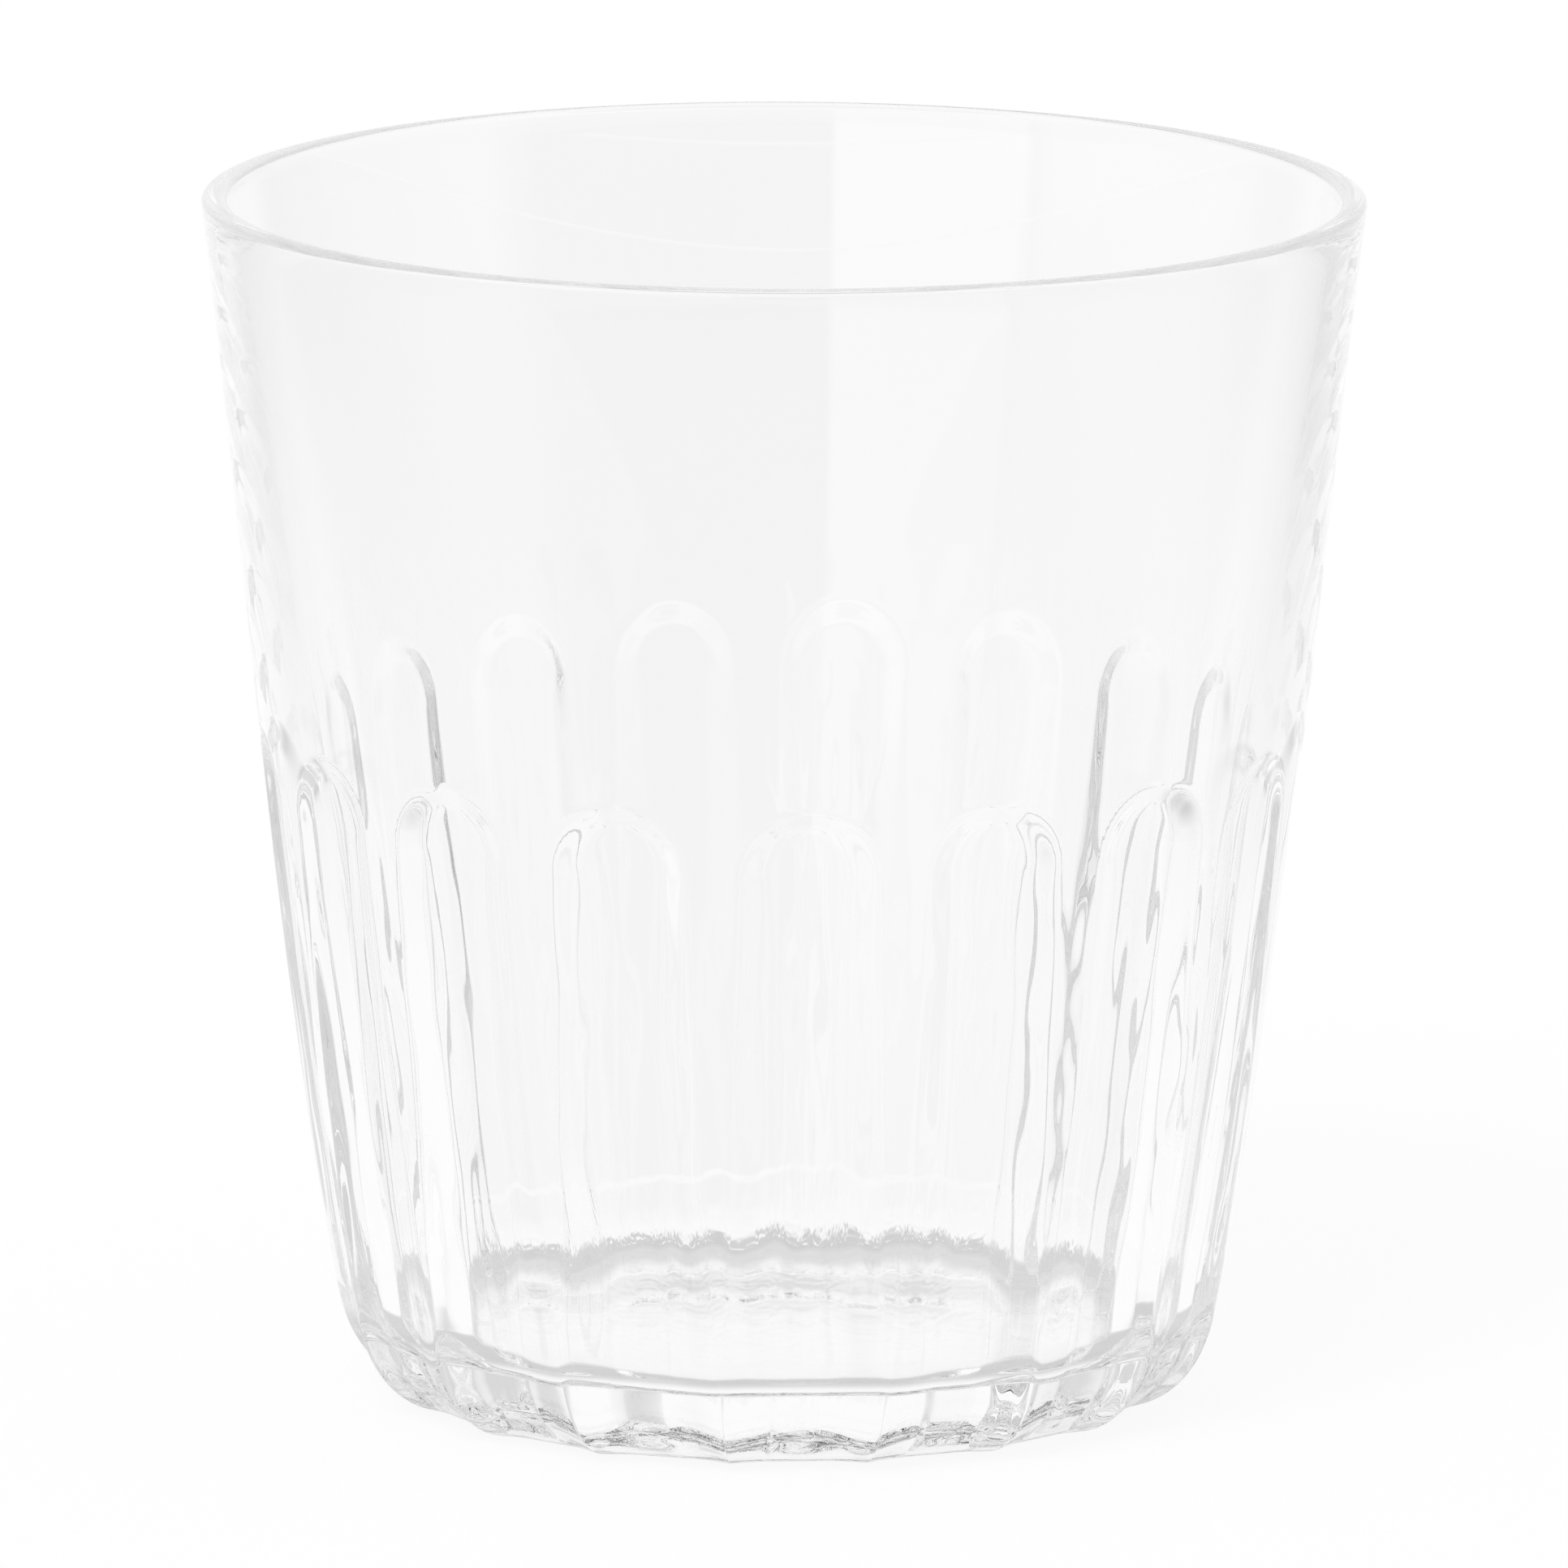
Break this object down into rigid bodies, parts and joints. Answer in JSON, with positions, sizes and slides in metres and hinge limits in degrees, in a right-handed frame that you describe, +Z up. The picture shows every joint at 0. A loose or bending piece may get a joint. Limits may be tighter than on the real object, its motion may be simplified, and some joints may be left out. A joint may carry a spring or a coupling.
{
  "type": "juice glass",
  "caption": "Clear pressed-glass juice tumbler with a tapered plain upper wall, arched flutes round the lower half and a thick base.",
  "frame": {"origin": "middle of the surface that the glass stands on", "axes": "+Z up along the axis of the cup, towards the rim; one flute faces -Y"},
  "size_m": [0.082, 0.082, 0.086],
  "materials": {
    "clear_glass": "polished"
  },
  "bodies": {
    "root": {"tumbler": "clear_glass"}
  },
  "joints": []
}
